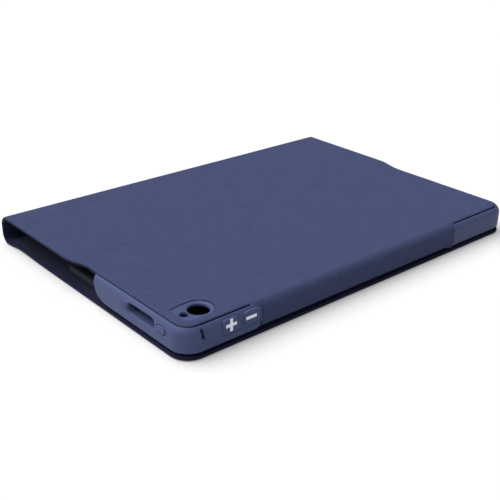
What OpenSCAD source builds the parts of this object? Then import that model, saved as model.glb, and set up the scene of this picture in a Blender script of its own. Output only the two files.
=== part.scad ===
// Folio keyboard case for a ten-inch tablet, closed, lying on its keyboard side.
// X runs along the spine, -Y is the opening edge, +Y is the spine, +Z is up.
// The origin is on the resting face, at the middle of the closed case.

/* [Tablet] */
// Length of the tablet that the pocket takes, along X
tablet_w = 240; // [200:1:300]
// Depth of the tablet, along Y
tablet_d = 169.5; // [140:0.5:210]
// Thickness of the tablet
tablet_t = 6.1; // [5.5:0.1:9]
// Gap round the tablet's edge in its pocket
tablet_fit = 0.3; // [0.2:0.05:0.6]
// Gap over the tablet's back in its pocket
back_fit = 0.2; // [0.1:0.05:0.5]

/* [Holder] */
// Thickness of the moulded rim round the tablet
rim_wall = 4.7; // [4:0.1:7]
// Outer radius of the two front corners, in plan
corner_r = 11; // [8:0.5:16]
// Radius of the rim's upper outer edge
shoulder_r = 3; // [2:0.1:4]
// Radius of the rim's lower outer edge
foot_r = 1.2; // [0.8:0.1:1.5]
// Thickness of the shell's back wall
shell_t = 1.0; // [0.8:0.1:2]
// How far the lip under the rim reaches over the screen
lip_reach = 1.6; // [1:0.1:2.5]
// Thickness of that lip
lip_t = 1.3; // [0.8:0.1:1.6]
// Gap between the lower edge of the rim and the deck's lining
rim_gap = 1.0; // [0.5:0.1:2]
// How far the side rims stop ahead of the fold line, at the top
rim_to_fold = 15; // [12:1:25]
// Slope of the side rims' rear ends, from upright
rim_end_slope = 39; // [0:1:42]

/* [Flap and spine] */
// Distance from the fold line back to the spine's outer face
flap_len = 83.5; // [70:0.5:100]
// How far the flap and the spine stand out past the holder at each side
flap_overhang = 1; // [0:0.1:2]
// Room between the tablet and the spine's outer face
spine_room = 4.2; // [3.6:0.1:8]
// Outer radius of the fold between the deck and the spine
lower_fold_r = 6; // [4:0.5:6.5]
// Outer radius of the fold between the spine and the flap
upper_fold_r = 6.5; // [4:0.5:7]
// Width of the soft strip at the fold line
fold_strip = 10; // [8:0.5:14]
// Length over which the flap's edge eases in to the holder's width, beside the soft strip
neck_len = 10; // [6:1:12]

/* [Layers] */
// Thickness of the outer fabric
fabric_t = 0.9; // [0.6:0.1:1.2]
// Thickness of the deck's stiffening board
board_t = 1.1; // [0.8:0.1:2]
// Thickness of the deck's lining
lining_t = 0.6; // [0.4:0.1:1]
// Thickness of the flap and holder linings
pad_t = 0.4; // [0.3:0.1:0.8]
// Gap between a board and the fabric that wraps its edge
board_fit = 0.1; // [0.05:0.05:0.3]
// Gap between two bodies where a fold strip joins them
strip_gap = 0.3; // [0.2:0.05:0.5]

/* [Keyboard] */
// Distance between two rows of keys
row_pitch = 16.5; // [15:0.1:18]
// Distance from the function row to the row below it
function_pitch = 13.2; // [12.8:0.1:15]
// Depth of a key in the function row
function_key_d = 8; // [7:0.1:9]
// Gap between two keycaps
key_gap = 2.2; // [1.8:0.1:3]
// Gap between a keycap and its opening in the frame
key_clear = 0.4; // [0.3:0.05:0.7]
// Height of a keycap
key_h = 2.1; // [1.8:0.1:2.4]
// How far a key goes down
key_travel = 1.5; // [1:0.1:1.5]
// Corner radius of a keycap
key_r = 1.6; // [1:0.1:2.5]
// Gap between the keytops and the lip's lower face, which keeps the screen off the keys
screen_gap = 0.9; // [0.5:0.1:2]
// Width of the frame's border round the keys
frame_border = 3; // [2:0.1:6]
// Corner radius of the keyboard frame, in plan
frame_r = 5; // [3:0.5:7]
// Gap between the rim's lip and the keyboard frame
nest_gap = 1; // [0.5:0.1:2]
// Width of the tray's walls
tray_wall = 1.2; // [1:0.1:2]
// Thickness of the keyboard frame's top
frame_t = 1.4; // [1:0.1:1.8]

/* [Dock] */
// Depth of the metal dock bar behind the keys
dock_d = 9; // [7:0.5:12]
// How far the dock bar stands above the frame
dock_h = 1.3; // [0.8:0.1:1.5]
// Gap between the last row of keys and the dock bar
dock_gap = 5; // [3:0.5:10]
// Depth of the groove in the dock bar
groove_h = 0.7; // [0.4:0.1:0.8]
// Pitch of the three spring contacts
contact_pitch = 4.4; // [3:0.1:6]
// Radius of a spring contact
contact_r = 0.9; // [0.6:0.05:1.2]

/* [Cut-outs and buttons] */
// Distance from the front edge to the middle of the speaker slots
speaker_from_front = 35; // [34:0.5:37]
// Length of a speaker slot
speaker_l = 24; // [16:1:25]
// Height of a speaker slot
speaker_h = 6.4; // [5:0.1:6.6]
// Height of the middle of every side opening above the tablet's screen
opening_rise = 3.3; // [3:0.1:3.5]
// Distance from the front edge to the middle of the power button
power_from_front = 18; // [16:0.1:18.5]
// Length of the power button
power_l = 7; // [5:0.5:8]
// Height of the power button
power_h = 4; // [3:0.1:5]
// Distance from the case's left side to the volume-up button's middle
volume_from_side = 28; // [26:0.5:32]
// Distance between the two volume buttons
volume_pitch = 13; // [12:0.1:14]
// Length of a volume button
volume_l = 11; // [8:0.1:11.3]
// Height of a volume button
volume_h = 7.6; // [6:0.1:7.8]
// Length of the arms of the plus and minus marks
mark_arm = 6.6; // [4:0.1:7]
// Width of those arms
mark_bar = 1.7; // [1:0.1:2.2]
// How far a button stands out of the rim
button_proud = 0.4; // [0.3:0.05:0.6]
// How far a button goes in
button_travel = 0.4; // [0.2:0.05:0.4]
// Gap round a button in its opening
button_clear = 0.3; // [0.15:0.05:0.4]
// Distance from the left side at which the bare rim ends along the front
bare_left = 48; // [47:1:60]
// Distance from the right side at which the bare rim starts along the front
bare_right = 52.5; // [20:0.5:60]
// Width of the strip of rim that shows outside the fabric, seen from above
seam_inset = 3; // [3:0.1:4]
// Width of the microphone slot
mic_w = 1.2; // [0.8:0.1:1.6]
// Height of the microphone slot
mic_h = 6.4; // [4:0.1:6.6]
// Distance from the left side to the middle of the camera window
camera_from_side = 20.5; // [19:0.5:24]
// Distance from the front edge to the middle of the camera window
camera_from_front = 15.5; // [14.5:0.1:18]
// Radius of the camera window
camera_r = 5.6; // [5:0.1:6]
// Radius of the flash window
flash_r = 2.2; // [1.5:0.1:2.5]
// Distance between the camera and the flash windows
flash_pitch = 8.6; // [8.3:0.1:9]
// Radius of the round end of the opening in the fabric
collar_r = 7.9; // [7:0.1:8.5]
// Corner radius of the other end
collar_corner_r = 3; // [2:0.1:4]
// Distance from the flash window's middle to that end
collar_end = 4.4; // [3.5:0.1:5]
// Gap between the moulded collar and the edge of that opening
collar_fit = 0.05; // [0.03:0.01:0.1]

/* [Hidden] */
$fn = 48;

// Plan sizes
case_w = tablet_w + 2 * (tablet_fit + rim_wall);
case_d = rim_wall + 2 * tablet_fit + tablet_d + spine_room;
half_w = case_w / 2;
flap_half = half_w + flap_overhang;
front_y = -(case_d - button_proud) / 2;
back_y = front_y + case_d;
fold_y = back_y - flap_len;
strip_front = fold_y - fold_strip / 2;
strip_back = fold_y + fold_strip / 2;
pocket_half = half_w - rim_wall;
pocket_front = front_y + rim_wall;

// Heights, from the resting face up
board_z = fabric_t;
lining_z = board_z + board_t;
deck_z = lining_z + lining_t;
rim_z = deck_z + rim_gap;
tray_z = lining_z;
tray_floor = 0.8;
plate_z = tray_z + tray_floor + 0.2;
plate_t = 0.4;
membrane_z = plate_z + plate_t + 0.02;
membrane_t = 0.2;
switch_z = membrane_z + membrane_t + 0.02;
key_z = switch_z + key_travel + 0.75;
key_top = key_z + key_h;
frame_z = key_top - key_travel - frame_t - 0.1;
frame_top = frame_z + frame_t;
lip_z = key_top + screen_gap - lip_t;
screen_z = lip_z + lip_t;
pocket_top = screen_z + tablet_t + back_fit;
shell_z = pocket_top + pad_t;
top_fabric_z = shell_z + shell_t;
case_h = top_fabric_z + fabric_t;
bare_top = case_h - 0.2;
opening_z = screen_z + opening_rise;

// Keyboard plan: the block of keys fills the frame from side to side
frame_half = pocket_half - lip_reach - nest_gap;
frame_front = pocket_front + lip_reach + nest_gap;
units = 14.5;
unit = 2 * (frame_half - frame_border) / units;
keys_left = -frame_half + frame_border;
space_row_y = frame_front + frame_border + row_pitch / 2;
function_y = space_row_y + 4 * row_pitch + function_pitch;
keys_back = function_y + function_key_d / 2;
dock_y = keys_back + dock_gap + dock_d / 2;
frame_back = dock_y + dock_d / 2 + 3;
key_d = row_pitch - key_gap;

// Widths of the keys of each row in units, from the left
function_row = [for (i = [0:13]) units / 14];
number_row = concat([for (i = [0:12]) 1], [1.5]);
upper_row = concat([1.5], [for (i = [0:12]) 1]);
home_row = concat([1.75], [for (i = [0:10]) 1], [1.75]);
lower_row = concat([2.25], [for (i = [0:9]) 1], [2.25]);
space_row = [1, 1, 1, 1.25, 5, 1.25, 1, 1, 1, 1];
rows = [space_row, lower_row, home_row, upper_row, number_row, function_row];

// Straight part of the spine between its two folds, and the gap between a fold and a board's edge
spine_low = lower_fold_r;
spine_high = case_h - upper_fold_r;
fold_clear = 1;

function before(widths, i) = i == 0 ? 0 : widths[i - 1] + before(widths, i - 1);
// Keys are placed and cut to a hundredth of a millimetre
function grid(size) = round(size * 100) / 100;
function key_x(row, i) = grid(keys_left + unit * (before(rows[row], i) + rows[row][i] / 2));
function key_w(row, i) = 2 * grid((unit * rows[row][i] - key_gap) / 2);
function row_y(row) = row == 5 ? function_y : space_row_y + row * row_pitch;
function depth_of(row) = row == 5 ? function_key_d : key_d;
// The flap's edge narrows to the seam's width over the strip at the fold line
function ease(t) = let (c = min(1, max(0, t))) c * c * (3 - 2 * c);
function edge_x(y) = (half_w - seam_inset) + (flap_half - half_w + seam_inset)
    * ease((y - strip_front + neck_len / 2) / (fold_strip + neck_len));

// A rectangle with round corners, centred
module round_rect(w, d, r) {
    square([w - 2 * r, d], center = true);
    square([w, d - 2 * r], center = true);
    for (sx = [-1, 1], sy = [-1, 1])
        translate([sx * (w / 2 - r), sy * (d / 2 - r)]) circle(r);
}

// A plate whose two front corners are round, from the front edge back to y_end
module front_plate(half, front, y_end, r, thick) {
    linear_extrude(thick) {
        translate([-half, front + r]) square([2 * half, y_end - front - r]);
        translate([-half + r, front]) square([2 * (half - r), r + 1]);
        for (s = [-1, 1]) translate([s * (half - r), front + r]) circle(r);
    }
}

// A slab between two Y positions whose sides follow the flap's edge
module edge_slab(y0, y1, thick, inset) {
    steps = 8;
    ys = [for (i = [0:steps]) y0 + (y1 - y0) * i / steps];
    linear_extrude(thick) polygon(concat(
        [for (y = ys) [edge_x(y) - inset, y]],
        [for (i = [0:steps]) [-edge_x(ys[steps - i]) + inset, ys[steps - i]]]));
}

// ---- Deck ----

// Fabric on the underside, turned up round the board's edge
module base_fabric() color("#333c5c") difference() {
    front_plate(half_w, front_y, back_y - lower_fold_r - strip_gap, corner_r, deck_z);
    translate([0, 0, board_z])
        front_plate(half_w - fabric_t, front_y + fabric_t, back_y, corner_r - fabric_t, deck_z);
}

// Stiffening board of the deck
module base_board() color("#8a8478") translate([0, 0, board_z])
    front_plate(half_w - fabric_t - board_fit, front_y + fabric_t + board_fit,
        back_y - lower_fold_r - fold_clear, corner_r - fabric_t - board_fit, board_t);

// Inner lining of the deck, open where the keyboard tray sits
module base_lining() color("#2b3045") difference() {
    translate([0, 0, lining_z])
        front_plate(half_w - fabric_t - board_fit, front_y + fabric_t + board_fit,
            back_y - lower_fold_r - fold_clear, corner_r - fabric_t - board_fit, lining_t);
    translate([0, (frame_front + frame_back) / 2, lining_z - 1]) linear_extrude(lining_t + 2)
        round_rect(2 * (frame_half + board_fit), frame_back - frame_front + 2 * board_fit, frame_r);
}

module frame_block(z, h, inset) translate([0, (frame_front + frame_back) / 2, z]) linear_extrude(h)
    round_rect(2 * (frame_half - inset), frame_back - frame_front - 2 * inset, frame_r - inset);

// Tray that holds the keyboard's works, with a post for each of its screws along the back
screw_xs = [for (share = [-1, -0.34, 0.34, 1]) share * (frame_half - 5)];
screw_y = frame_back - 4.2;
screw_r = 0.65;
module tray_posts(r, z, h) for (x = screw_xs) translate([x, screw_y, z]) cylinder(r = r, h = h);

module keyboard_tray() color("#22262f") difference() {
    union() {
        difference() {
            frame_block(tray_z, frame_z - tray_z, 0);
            frame_block(tray_z + tray_floor, frame_z, tray_wall);
        }
        tray_posts(1.6, tray_z + tray_floor, frame_z - tray_z - tray_floor);
    }
    tray_posts(screw_r + 0.05, tray_z + tray_floor, frame_z);
}

// Frame with an opening for each key
module key_openings() for (row = [0:5], i = [0:len(rows[row]) - 1])
    translate([key_x(row, i), row_y(row)])
        round_rect(key_w(row, i) + 2 * key_clear, depth_of(row) + 2 * key_clear, key_r + key_clear);

module keyboard_frame() color("#262b38") translate([0, 0, frame_z]) linear_extrude(frame_t) difference() {
    translate([0, (frame_front + frame_back) / 2])
        round_rect(2 * frame_half, frame_back - frame_front, frame_r);
    key_openings();
    translate([0, dock_y]) square([block_w + 2 * block_fit, block_d + 2 * block_fit], center = true);
}

// Plate that the scissor links clip to
module keys_plate(z, h, inset) translate([0, (frame_front + keys_back + 1) / 2, z]) linear_extrude(h)
    round_rect(2 * (frame_half - tray_wall - inset),
        keys_back + 1 - frame_front - 2 * (tray_wall + inset), frame_r - tray_wall - inset);

module key_support_plate() color("#9aa0a6") keys_plate(plate_z, plate_t, 0.4);

// Printed switch sheet on the plate
module switch_membrane() color("#c9ccbf") keys_plate(membrane_z, membrane_t, 1.2);

// A dome under every key, inside its link frames
link_bar = 0.6;
module rubber_domes() color("#6d7078")
    for (row = [0:5], i = [0:len(rows[row]) - 1]) {
        r = min(3, link_d(row) / 2 - link_bar - 0.3);
        translate([key_x(row, i), row_y(row), switch_z])
            cylinder(r1 = r, r2 = r - 1, h = key_z - switch_z - 0.1);
    }

// A pair of crossed link frames under every key: the inner one pivots in the outer one
module link_frame(w, d, tilt, z) translate([0, 0, z]) rotate([tilt, 0, 0])
    linear_extrude(0.5, center = true) difference() {
        square([w, d], center = true);
        square([w - 2 * link_bar, d - 2 * link_bar], center = true);
    }
function link_d(row) = depth_of(row) - 1.6;

module scissor_links() color("#e6e6e2")
    for (row = [0:5], i = [0:len(rows[row]) - 1]) {
        d = link_d(row);
        tilt = asin((key_z - switch_z - 0.75) / d);
        mid = (switch_z + key_z) / 2;
        translate([key_x(row, i), row_y(row), 0]) {
            link_frame(10.6, d, tilt, mid);
            link_frame(9.2, d, -tilt, mid);
            for (s = [-1, 1]) translate([s * 4.7, 0, mid]) rotate([0, 90, 0])
                cylinder(r = 0.2, h = 0.9, center = true);
        }
    }

// Circuit board behind the keys
pcb_y0 = keys_back + 2.2;
pcb_y1 = frame_back - 6.4;
pcb_z = tray_z + tray_floor + 0.2;
pcb_t = 0.8;
pcb_half = 58;
module controller_board() color("#1f5b3a") translate([-pcb_half, pcb_y0, pcb_z])
    cube([2 * pcb_half, pcb_y1 - pcb_y0, pcb_t]);

// Chips and a ribbon socket on the board
ribbon_x = 48;
ribbon_w = 7;
module board_components() color("#15171a") translate([0, (pcb_y0 + pcb_y1) / 2, pcb_z + pcb_t]) {
    for (x = [-34, -13, 30]) translate([x - 3, -2.4, 0]) cube([6, 4.8, 0.7]);
    for (x = [-48, -24, 12, 20, 42]) translate([x, 1, 0]) cube([2, 1.2, 0.6]);
    translate([ribbon_x - 1, pcb_y0 / 2 - pcb_y1 / 2 + 0.5, 0]) cube([ribbon_w + 2, 2, 0.9]);
}

// Flat ribbon that steps up from the switch sheet to the board's socket
ribbon_t = 0.15;
module membrane_ribbon() color("#b5763a") translate([ribbon_x, 0, 0]) rotate([90, 0, 90])
    linear_extrude(ribbon_w) {
        low = membrane_z + membrane_t;
        high = pcb_z + pcb_t + 0.3;
        y0 = keys_back - 1.6;
        y1 = pcb_y0 - 0.6;
        translate([y0, low]) square([y1 - y0, ribbon_t]);
        translate([y1 - ribbon_t, low]) square([ribbon_t, high + ribbon_t - low]);
        translate([y1 - ribbon_t, high]) square([pcb_y0 + 0.5 - y1 + ribbon_t, ribbon_t]);
    }

// Screws that hold the frame to the tray
module tray_screws() color("#8f9297") for (x = screw_xs)
    translate([x, screw_y, frame_z - 1.6]) cylinder(r = screw_r, h = 1.55);

// Metal bar that the open tablet's edge stands in
bar_half = frame_half - 12;
module dock_bar() color("#aeb4bf") translate([0, dock_y, frame_top + 0.05]) difference() {
    linear_extrude(dock_h) round_rect(2 * bar_half, dock_d, 1.5);
    translate([-bar_half + 3, -1.2, dock_h - groove_h]) cube([2 * bar_half - 6, dock_d, groove_h + 1]);
    translate([0, 0, dock_h / 2]) cube([block_w + 2 * block_fit, block_d + 2 * block_fit, dock_h + 2],
        center = true);
}

// Insulating block that carries the spring contacts
block_w = 3 * contact_pitch + 2.8;
block_d = 4;
block_fit = 0.2;
block_z = frame_z - 0.2;
block_top = frame_top + 0.05 + dock_h - groove_h;
module dock_contact_block() color("#17191d") difference() {
    translate([-block_w / 2, dock_y - block_d / 2, block_z]) cube([block_w, block_d, block_top - block_z]);
    for (i = [-1:1]) translate([i * contact_pitch, dock_y, block_z - 1])
        cylinder(r = contact_r + 0.05, h = block_top - block_z + 2);
}

// Three gold-plated spring contacts
module dock_contact_pins() color("#d0a94f") for (i = [-1:1])
    translate([i * contact_pitch, dock_y, block_z]) cylinder(r = contact_r, h = block_top - block_z + 0.5);

// Magnets under the dock bar, which hold the standing tablet
module dock_magnets() color("#7c7f85") for (s = [-1, 1], i = [0:1])
    translate([s * (68 + 20 * i) - 8, dock_y - 2.5, frame_z - 1.3]) cube([16, 5, 1.25]);

// Magnets in the deck's front corners, which hold the case closed
module front_magnets() color("#7c7f85") for (s = [-1, 1])
    translate([s * (frame_half - 22) - 6, frame_front + tray_wall + 0.2, frame_z - 1.25])
        cube([12, 1.6, 1.2]);

// ---- Keys ----

module keycap(row, i, d) translate([key_x(row, i), row_y(row), key_z]) {
    w = key_w(row, i);
    linear_extrude(key_h - 0.4) round_rect(w, d, key_r);
    translate([0, 0, key_h - 0.4]) linear_extrude(0.4) round_rect(w - 0.7, d - 0.7, key_r - 0.35);
}

module keys(row, first, last) for (i = [first:last]) keycap(row, i, depth_of(row));

key_colour = "#20242e";
module function_keys() color(key_colour) keys(5, 0, 13);
module number_keys() color(key_colour) keys(4, 0, 12);
module upper_letter_keys() color(key_colour) keys(3, 1, 13);
module home_letter_keys() color(key_colour) keys(2, 1, 11);
module lower_letter_keys() color(key_colour) keys(1, 1, 10);
module modifier_keys() color(key_colour) {
    keys(0, 0, 3);
    keys(0, 5, 6);
}
module delete_key() color(key_colour) keys(4, 13, 13);
module tab_key() color(key_colour) keys(3, 0, 0);
module caps_lock_key() color(key_colour) keys(2, 0, 0);
module return_key() color(key_colour) keys(2, 12, 12);
module left_shift_key() color(key_colour) keys(1, 0, 0);
module right_shift_key() color(key_colour) keys(1, 11, 11);
module space_bar() color(key_colour) keys(0, 4, 4);
module arrow_left_key() color(key_colour) keys(0, 7, 7);
module arrow_right_key() color(key_colour) keys(0, 9, 9);
// The two half-depth keys share one place
module arrow_up_down_keys() color(key_colour) for (s = [-1, 1])
    translate([0, s * (key_d / 4 + 0.3), 0]) keycap(0, 8, key_d / 2 - 0.6);

// ---- Spine ----

// A flat layer of the spine: its ends stop short of the fabric's by inset
module spine_plate(depth, t, inset)
    translate([-flap_half + inset, back_y - depth - t, spine_low + strip_gap])
        cube([2 * (flap_half - inset), t, spine_high - spine_low - 2 * strip_gap]);

module spine_fabric() color("#3d4668") spine_plate(0, fabric_t, 0);
module spine_board() color("#8a8478") spine_plate(fabric_t, board_t, fabric_t);
module spine_lining() color("#2b3045") spine_plate(fabric_t + board_t, pad_t, fabric_t);

// ---- Fold strips: a quarter tube at each side of the spine, and a flat one at the fold line ----

module quarter(r, t, from) rotate([90, 0, 90]) rotate([0, 0, from]) translate([0, 0, -flap_half])
    linear_extrude(2 * flap_half) difference() {
        intersection() {
            circle(r);
            square(r + 1);
        }
        circle(r - t);
    }

module lower_hinge_fabric() color("#3d4668")
    translate([0, back_y - lower_fold_r, lower_fold_r]) quarter(lower_fold_r, fabric_t, -90);
module upper_hinge_fabric() color("#4a5475")
    translate([0, back_y - upper_fold_r, case_h - upper_fold_r]) quarter(upper_fold_r, fabric_t, 0);
module fold_hinge_fabric() color("#4a5475") translate([0, 0, top_fabric_z])
    edge_slab(strip_front + strip_gap, strip_back - strip_gap, fabric_t, 0);

// ---- Flap ----

flap_end = back_y - upper_fold_r - strip_gap;
module flap_fabric() color("#4a5475") translate([0, 0, top_fabric_z])
    edge_slab(strip_back, flap_end, fabric_t, 0);
module flap_board() color("#8a8478") translate([0, 0, shell_z])
    edge_slab(strip_back + fold_clear, flap_end - fold_clear, shell_t, fabric_t);
module flap_lining() color("#2b3045") translate([0, 0, pocket_top])
    edge_slab(strip_back + fold_clear, flap_end - fold_clear, pad_t, fabric_t);

// ---- Holder ----

// Cross-section of the rim: outer is its outer face, measured from the corner's centre.
// Its top is stepped down where the edge of the top panel lies on it.
module rim_section(outer, top, r_top, r_foot) {
    inner = corner_r - rim_wall;
    difference() {
        union() {
            translate([inner, rim_z]) square([outer - inner, top - rim_z]);
            translate([inner - lip_reach, lip_z]) square([lip_reach + 1, lip_t - 0.1]);
        }
        translate([outer - r_top, top - r_top]) difference() {
            square(r_top + 1);
            circle(r_top);
        }
        translate([outer - r_foot, rim_z + r_foot]) mirror([0, 1]) difference() {
            square(r_foot + 1);
            circle(r_foot);
        }
        translate([inner - 1, top_fabric_z]) square([corner_r - seam_inset - inner + 1, 5]);
    }
}

module bare_section() rim_section(corner_r, bare_top, shoulder_r, foot_r);
module covered_section() rim_section(corner_r - fabric_t, top_fabric_z, shoulder_r - fabric_t, foot_r);

centre_x = half_w - corner_r;
centre_y = front_y + corner_r;
rim_top_end = fold_y - rim_to_fold;
left_bare_x = -half_w + bare_left;
right_bare_x = half_w - bare_right;

// Straight run of the rim along the front, between two X positions
module front_run(x0, x1) translate([x0, centre_y, 0]) rotate([90, 0, 90])
    linear_extrude(x1 - x0) mirror([1, 0]) children();

module side_run() translate([centre_x, rim_top_end, 0]) rotate([90, 0, 0])
    linear_extrude(rim_top_end - centre_y) bare_section();

module rim_corner() translate([centre_x, centre_y, 0]) rotate([0, 0, -90]) rotate_extrude(angle = 90)
    bare_section();

// One side of the rim: its straight run, sloped at the rear, and its corner
module rim_side() {
    difference() {
        side_run();
        translate([half_w - 20, rim_top_end, bare_top]) rotate([-rim_end_slope, 0, 0])
            translate([0, 0, -30]) cube([40, 30, 60]);
    }
    rim_corner();
}

module side_opening(x, y, l, h) translate([x, y, opening_z]) rotate([90, 0, 90])
    linear_extrude(rim_wall * 3, center = true) round_rect(l, h, h / 2 - 0.05);

// Opening in the fabric and the shell, round the camera window and its flash window
camera_x = -half_w + camera_from_side;
camera_y = front_y + camera_from_front;
module collar_outline(grow) {
    left = camera_x - flash_pitch - collar_end - grow;
    right = camera_x + collar_corner_r + grow;
    translate([camera_x, camera_y]) circle(collar_r + grow);
    translate([(left + right) / 2, camera_y])
        round_rect(right - left, 2 * (collar_r + grow), collar_corner_r + grow);
}

volume_up_x = -half_w + volume_from_side;
volume_down_x = volume_up_x + volume_pitch;
module volume_hole(x, grow) translate([x, front_y + rim_wall / 2, opening_z]) rotate([90, 0, 0])
    linear_extrude(rim_wall * 3, center = true)
        round_rect(volume_l + 2 * grow, volume_h + 2 * grow, 2 + grow);

speaker_y = front_y + speaker_from_front;
power_y = front_y + power_from_front;
mic_x = -centre_x + 0.4;

module holder_shell() color("#46517a") difference() {
    union() {
        for (s = [0, 1]) mirror([s, 0, 0]) rim_side();
        front_run(-centre_x, left_bare_x) bare_section();
        front_run(left_bare_x, right_bare_x) covered_section();
        front_run(right_bare_x, centre_x) bare_section();
        translate([0, 0, shell_z]) front_plate(pocket_half + 0.5, pocket_front - 0.5,
            rim_top_end + 4, corner_r - rim_wall + 0.5, shell_t);
        translate([0, 0, shell_z]) edge_slab(rim_top_end, strip_front - fold_clear, shell_t, fabric_t);
    }
    for (s = [-1, 1]) side_opening(s * half_w, speaker_y, speaker_l, speaker_h);
    side_opening(-half_w, power_y, power_l + 2 * button_clear, power_h + 2 * button_clear);
    volume_hole(volume_up_x, button_clear);
    volume_hole(volume_down_x, button_clear);
    translate([mic_x - mic_w / 2, front_y - 1, opening_z - mic_h / 2]) cube([mic_w, rim_wall * 2, mic_h]);
    translate([0, 0, shell_z - 1]) linear_extrude(shell_t + 2) collar_outline(0);
}

// Top panel, and the part of it that wraps over the front of the rim
module holder_fabric() color("#4a5475") {
    difference() {
        union() {
            translate([0, 0, top_fabric_z]) front_plate(half_w - seam_inset, front_y + seam_inset,
                rim_top_end, corner_r - seam_inset, fabric_t);
            translate([0, 0, top_fabric_z]) edge_slab(rim_top_end - 1, strip_front, fabric_t, 0);
            front_run(left_bare_x + 0.1, right_bare_x - 0.1) wrap_section();
        }
        translate([0, 0, top_fabric_z - 1]) linear_extrude(fabric_t + 2) collar_outline(0);
    }
}

module wrap_section() difference() {
    rim_outline(corner_r, case_h, shoulder_r);
    rim_outline(corner_r - fabric_t, top_fabric_z, shoulder_r - fabric_t);
}

module rim_outline(outer, top, r_top) difference() {
    translate([corner_r - seam_inset - 1, rim_z + foot_r]) square([outer - corner_r + seam_inset + 1,
        top - rim_z - foot_r]);
    translate([outer - r_top, top - r_top]) difference() {
        square(r_top + 1);
        circle(r_top);
    }
}

// Soft lining between the tablet's back and the shell
module holder_lining() color("#2b3045") difference() {
    translate([0, 0, pocket_top]) front_plate(pocket_half - 0.1, pocket_front + 0.1,
        strip_front - fold_clear, corner_r - rim_wall, pad_t);
    translate([0, 0, pocket_top - 1]) linear_extrude(pad_t + 2) collar_outline(0);
}

// Moulded collar round the camera and flash windows
module camera_surround() color("#3a456b") translate([0, 0, pocket_top]) difference() {
    linear_extrude(top_fabric_z - pocket_top) collar_outline(-collar_fit);
    translate([camera_x, camera_y, -1]) {
        cylinder(r = camera_r, h = 5);
        translate([-flash_pitch, 0, 0]) cylinder(r = flash_r, h = 5);
    }
}

// Steel strips in the rim that the deck's magnets pull on
module holder_keepers() color("#7c7f85") for (s = [-1, 1])
    translate([s * (pocket_half - 12) - 4, pocket_front + 0.3, lip_z - 0.5]) cube([8, 1.2, 0.45]);

// Soft-touch buttons, which stop 0.6 mm short of the pocket when they are pressed fully in. The
// volume buttons carry marks let into their faces.
button_l = rim_wall + button_proud - button_travel - 0.6;
mark_depth = 0.3;
mark_fit = 0.03;
module volume_body(x) translate([x, front_y - button_proud, opening_z]) rotate([-90, 0, 0])
    linear_extrude(button_l) round_rect(volume_l, volume_h, 2);
module mark_place(x) translate([x, front_y - button_proud, opening_z]) rotate([-90, 0, 0]) children();
module plus_mark(shrink) {
    minus_mark(shrink);
    rotate([0, 0, 90]) minus_mark(shrink);
}
module minus_mark(shrink) square([mark_arm - 2 * shrink, mark_bar - 2 * shrink], center = true);

module volume_up_button() color("#46517a") difference() {
    volume_body(volume_up_x);
    mark_place(volume_up_x) linear_extrude(2 * mark_depth, center = true) plus_mark(0);
}
module volume_down_button() color("#46517a") difference() {
    volume_body(volume_down_x);
    mark_place(volume_down_x) linear_extrude(2 * mark_depth, center = true) minus_mark(0);
}
module volume_up_mark() color("#d9dcf0") mark_place(volume_up_x)
    linear_extrude(mark_depth) plus_mark(mark_fit);
module volume_down_mark() color("#d9dcf0") mark_place(volume_down_x)
    linear_extrude(mark_depth) minus_mark(mark_fit);
module power_button() color("#46517a") translate([-half_w - button_proud, power_y, opening_z])
    rotate([90, 0, 90]) linear_extrude(button_l) round_rect(power_l, power_h, power_h / 2 - 0.05);

base_fabric();
base_board();
base_lining();
keyboard_tray();
keyboard_frame();
key_support_plate();
switch_membrane();
rubber_domes();
scissor_links();
controller_board();
board_components();
membrane_ribbon();
tray_screws();
dock_bar();
dock_contact_block();
dock_contact_pins();
dock_magnets();
front_magnets();
function_keys();
number_keys();
upper_letter_keys();
home_letter_keys();
lower_letter_keys();
modifier_keys();
delete_key();
tab_key();
caps_lock_key();
return_key();
left_shift_key();
right_shift_key();
space_bar();
arrow_left_key();
arrow_up_down_keys();
arrow_right_key();
spine_board();
spine_fabric();
spine_lining();
flap_board();
flap_fabric();
flap_lining();
lower_hinge_fabric();
upper_hinge_fabric();
fold_hinge_fabric();
holder_shell();
holder_fabric();
holder_lining();
camera_surround();
holder_keepers();
volume_up_button();
volume_down_button();
volume_up_mark();
volume_down_mark();
power_button();
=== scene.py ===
import math

import bmesh
import bpy
import numpy as np
from mathutils import Matrix, Vector


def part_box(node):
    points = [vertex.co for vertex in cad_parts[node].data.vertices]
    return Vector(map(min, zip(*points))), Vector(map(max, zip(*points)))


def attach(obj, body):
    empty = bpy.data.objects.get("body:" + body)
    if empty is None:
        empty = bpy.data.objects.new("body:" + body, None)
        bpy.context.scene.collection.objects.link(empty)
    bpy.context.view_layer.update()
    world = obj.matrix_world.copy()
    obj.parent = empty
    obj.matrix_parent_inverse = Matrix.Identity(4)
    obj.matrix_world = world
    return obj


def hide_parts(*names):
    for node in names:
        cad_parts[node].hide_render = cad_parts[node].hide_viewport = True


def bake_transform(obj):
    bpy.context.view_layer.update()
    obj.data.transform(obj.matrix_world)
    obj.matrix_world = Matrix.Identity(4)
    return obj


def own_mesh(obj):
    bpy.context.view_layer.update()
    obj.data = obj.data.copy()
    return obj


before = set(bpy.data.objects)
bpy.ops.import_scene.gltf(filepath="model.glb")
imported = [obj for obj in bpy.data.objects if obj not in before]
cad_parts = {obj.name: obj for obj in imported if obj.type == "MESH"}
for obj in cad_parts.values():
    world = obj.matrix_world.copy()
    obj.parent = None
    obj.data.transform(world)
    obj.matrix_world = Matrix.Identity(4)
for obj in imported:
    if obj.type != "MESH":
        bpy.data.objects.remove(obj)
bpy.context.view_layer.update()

mm = 0.001


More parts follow.
